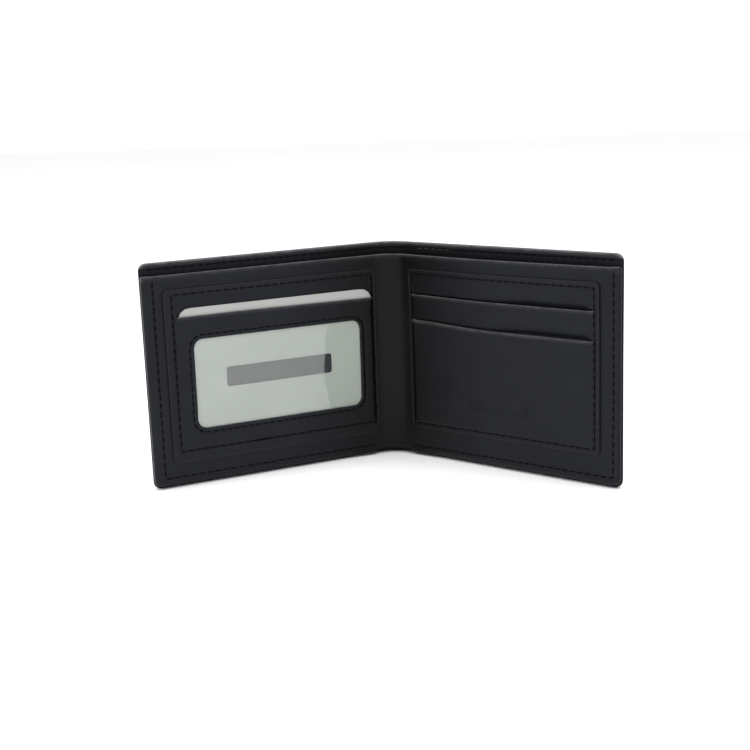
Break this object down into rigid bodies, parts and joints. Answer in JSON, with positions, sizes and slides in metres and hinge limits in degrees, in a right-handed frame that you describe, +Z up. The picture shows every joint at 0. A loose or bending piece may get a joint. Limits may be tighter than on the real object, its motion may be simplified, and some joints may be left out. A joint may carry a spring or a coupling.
{
  "type": "bifold wallet",
  "caption": "Slim leather bifold wallet standing open in a V, with a note compartment, a window pocket holding a loose card, and two card slots.",
  "frame": {"origin": "on the bottom edge of the spine, midway between the two fold lines", "axes": "+Z up; X runs across the open V; -Y looks out of the V towards the person reading it"},
  "size_m": [0.1946, 0.0607, 0.095],
  "materials": {
    "cover_leather": "smooth black leather with a fine grain and a soft sheen",
    "liner_leather": "smooth black leather, fine grain, satin",
    "lining_cloth": "fine black woven lining",
    "stiffener_board": "plain fibre board",
    "thread": "black twisted thread",
    "clear_film": "clear glossy plastic film",
    "card_stock": "pale grey card with plain printed bars"
  },
  "bodies": {
    "spine": {"cover_spine": "cover_leather", "spine_lining": "lining_cloth", "top_hem_spine": "cover_leather", "bottom_hem_spine": "cover_leather", "spine_hem_stitching": "thread", "liner_fold": "liner_leather"},
    "left_panel": {"cover_left": "cover_leather", "stiffener_left": "stiffener_board", "lining_left": "lining_cloth", "top_hem_left": "cover_leather", "side_hem_left": "cover_leather", "bottom_hem_left": "cover_leather", "liner_backing_left": "lining_cloth", "liner_left": "liner_leather", "left_pocket_back": "lining_cloth", "left_pocket_facing": "liner_leather", "window_film": "clear_film", "window_stitching": "thread", "left_pocket_stitching": "thread", "left_edge_stitching": "thread", "left_hem_stitching": "thread"},
    "right_panel": {"cover_right": "cover_leather", "stiffener_right": "stiffener_board", "lining_right": "lining_cloth", "top_hem_right": "cover_leather", "side_hem_right": "cover_leather", "bottom_hem_right": "cover_leather", "liner_backing_right": "lining_cloth", "liner_right": "liner_leather", "right_pocket_back": "lining_cloth", "slot_divider": "lining_cloth", "right_pocket_facing": "liner_leather", "right_pocket_stitching": "thread", "right_edge_stitching": "thread", "right_hem_stitching": "thread"},
    "card": {"insert_card": "card_stock"}
  },
  "joints": [
    {"name": "left_fold", "type": "hinge", "parent": "spine", "child": "left_panel", "pos_m": [-0.007, 0, 0], "axis": [0, 0, 1], "range_deg": [-32, 58], "deforming": ["liner_fold"]},
    {"name": "right_fold", "type": "hinge", "parent": "spine", "child": "right_panel", "pos_m": [0.007, 0, 0], "axis": [0, 0, -1], "range_deg": [-32, 58], "deforming": ["liner_fold"]},
    {"name": "card_slide", "type": "slide", "parent": "left_panel", "child": "card", "axis": [0.0079, -0.0126, 0.9999], "range_m": [0, 0.06]}
  ],
  "couplings": [
    {"joint": "right_fold", "follows": "left_fold", "ratio": 1}
  ]
}
